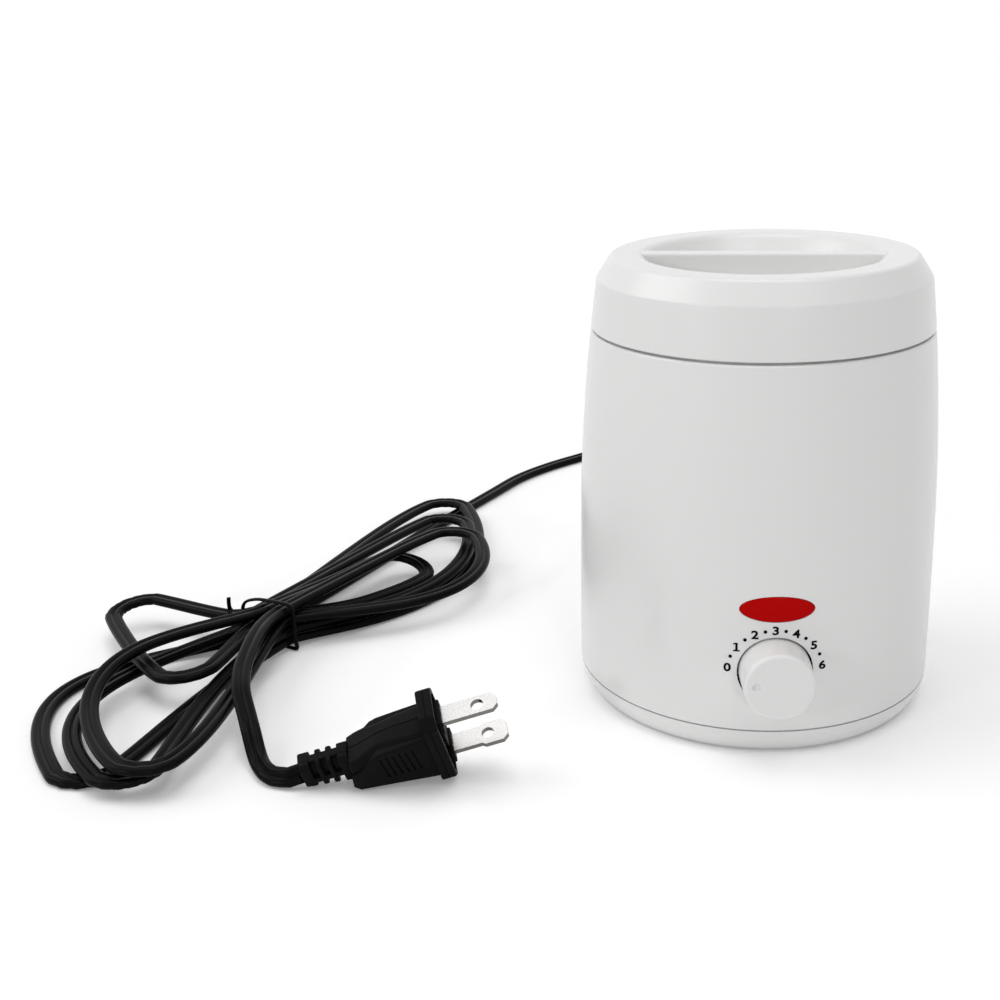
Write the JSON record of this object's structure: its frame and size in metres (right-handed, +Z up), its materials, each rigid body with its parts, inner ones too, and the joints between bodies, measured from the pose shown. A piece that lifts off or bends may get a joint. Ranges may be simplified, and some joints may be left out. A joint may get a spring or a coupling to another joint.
{
  "type": "wax warmer",
  "caption": "Small white drum-shaped wax warmer with a lift-off lid, lift-out pot, heating well, front dial, red indicator and a flat mains lead tied in a hank.",
  "frame": {"origin": "on the drum's axis, on the surface that the feet stand on", "axes": "+Z up along the drum's axis, -Y out of the dial, +X to the right of someone facing the dial"},
  "size_m": [0.2884, 0.3374, 0.1408],
  "materials": {
    "white_shell": "satin moulded",
    "white_lid": "satin moulded",
    "white_inner": "satin moulded",
    "white_knob": "smooth moulded",
    "aluminium": "spun, satin",
    "steel": "zinc plated",
    "grey_rubber": "matt",
    "heater_grey": "cast, dull",
    "fuse_brass": "plain",
    "stack_ivory": "moulded",
    "red_lens": "clear red, polished",
    "lamp_glass": "clear",
    "red_wire": "insulation",
    "brown_wire": "insulation",
    "grey_wire": "insulation",
    "black_lead": "satin flexible",
    "nickel": "nickel plated"
  },
  "bodies": {
    "housing": {"body_shell": "white_shell", "base": "white_shell", "feet": "grey_rubber", "base_screws": "steel", "top_ring": "white_inner", "heating_well": "aluminium", "well_screws": "steel", "heater": "heater_grey", "heater_strap": "steel", "strap_screws": "steel", "thermal_fuse": "fuse_brass", "thermostat": "stack_ivory", "thermostat_bracket": "steel", "thermostat_nut": "steel", "bracket_screws": "steel", "indicator_lens": "red_lens", "lamp_holder": "stack_ivory", "neon_lamp": "lamp_glass", "terminal_block": "stack_ivory", "mains_wires": "black_lead", "heater_wires": "red_wire", "thermostat_wires": "brown_wire", "lamp_wires": "grey_wire", "strain_relief": "black_lead", "cord_lead": "black_lead", "cord_hank": "black_lead", "cord_tail": "black_lead", "twist_tie": "black_lead", "plug_body": "black_lead", "plug_blades": "nickel"},
    "pot": {"wax_pot": "aluminium"},
    "lid": {"lid": "white_lid"},
    "dial": {"knob": "white_knob", "thermostat_shaft": "steel"}
  },
  "joints": [
    {"name": "pot_lift", "type": "slide", "parent": "housing", "child": "pot", "axis": [0, 0, 1], "range_m": [0, 0.08]},
    {"name": "lid_lift", "type": "slide", "parent": "pot", "child": "lid", "axis": [0, 0, 1], "range_m": [0, 0.06]},
    {"name": "knob_turn", "type": "hinge", "parent": "housing", "child": "dial", "pos_m": [0, -0.066, 0.028], "axis": [0, 1, 0], "range_deg": [0, 180]}
  ]
}
